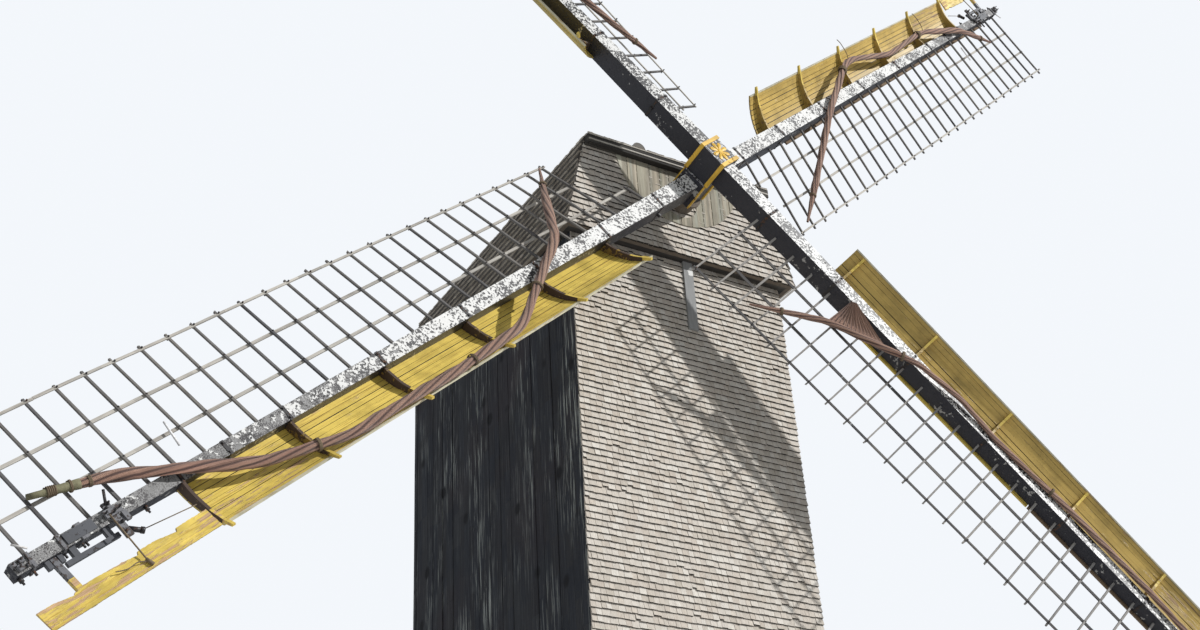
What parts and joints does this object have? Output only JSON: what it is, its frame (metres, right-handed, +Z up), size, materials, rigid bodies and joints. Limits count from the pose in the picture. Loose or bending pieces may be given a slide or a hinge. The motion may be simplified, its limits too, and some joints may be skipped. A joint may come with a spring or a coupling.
{
  "type": "post windmill",
  "caption": "Shingled wooden post mill with a hipped roof, steel stocks, lattice sails with curved leading boards and furled canvas, on a trestle with brick piers.",
  "frame": {"origin": "on the post's axis at ground level", "axes": "+Z up along the post, -Y to the sails, +X to the right as seen from the sails' side"},
  "size_m": [20.8562, 14.5046, 25.3755],
  "materials": {
    "weathered_wood": "rough sawn, weathered",
    "oak_shingle": "weathered shingles",
    "grey_board": "weathered boards",
    "yellow_board": "yellow paint, flaking",
    "white_painted_steel": "white paint, flaking, over dark primer",
    "black_iron": "black paint",
    "yellow_painted_iron": "yellow paint, worn",
    "sail_canvas": "rust brown canvas, furled",
    "brick": "red brick in lime mortar"
  },
  "bodies": {
    "trestle": {"brick_piers": "brick", "crosstree_lower": "weathered_wood", "crosstree_upper": "weathered_wood", "main_post": "weathered_wood", "saddle": "weathered_wood", "quarter_bars_across": "weathered_wood", "quarter_bars_along": "weathered_wood"},
    "buck": {"sheers": "weathered_wood", "lower_floor": "weathered_wood", "crown_tree": "weathered_wood", "side_girts": "weathered_wood", "left_wall": "oak_shingle", "right_wall": "oak_shingle", "front_wall": "oak_shingle", "rear_wall": "oak_shingle", "rear_door": "grey_board", "eaves_ring": "weathered_wood", "roof_lower_left": "oak_shingle", "roof_lower_right": "oak_shingle", "front_gable": "grey_board", "rear_gable": "oak_shingle", "shaft_boards": "grey_board", "hip_front": "oak_shingle", "hip_rear": "oak_shingle", "roof_upper_left": "oak_shingle", "roof_upper_right": "oak_shingle", "ridge_log": "weathered_wood", "verge_board": "grey_board", "hanging_board": "grey_board", "neck_beam": "weathered_wood", "tail_beam": "weathered_wood", "tail_sill": "weathered_wood", "tail_pole": "weathered_wood", "step_stringers": "weathered_wood", "step_treads": "weathered_wood", "step_yoke": "weathered_wood"},
    "rotor": {"windshaft": "weathered_wood", "poll_end": "black_iron", "poll_rims": "yellow_painted_iron", "front_stock": "white_painted_steel", "rear_stock": "white_painted_steel", "lattice_upper_right": "weathered_wood", "boards_upper_right": "yellow_board", "ribs_upper_right": "yellow_board", "cloth_upper_right": "sail_canvas", "lattice_upper_left": "weathered_wood", "boards_upper_left": "yellow_board", "ribs_upper_left": "yellow_board", "cloth_upper_left": "sail_canvas", "lattice_lower_left": "weathered_wood", "boards_lower_left": "yellow_board", "ribs_lower_left": "yellow_board", "cloth_lower_left": "sail_canvas", "lattice_lower_right": "weathered_wood", "boards_lower_right": "yellow_board", "ribs_lower_right": "yellow_board", "cloth_lower_right": "sail_canvas"}
  },
  "joints": [
    {"name": "yaw", "type": "hinge", "parent": "trestle", "child": "buck", "pos_m": [0, 0, 4.04], "axis": [0, 0, 1], "continuous": true},
    {"name": "sails_turn", "type": "hinge", "parent": "buck", "child": "rotor", "pos_m": [0, -3.5, 15.07], "axis": [0, -0.9903, 0.1392], "continuous": true}
  ]
}
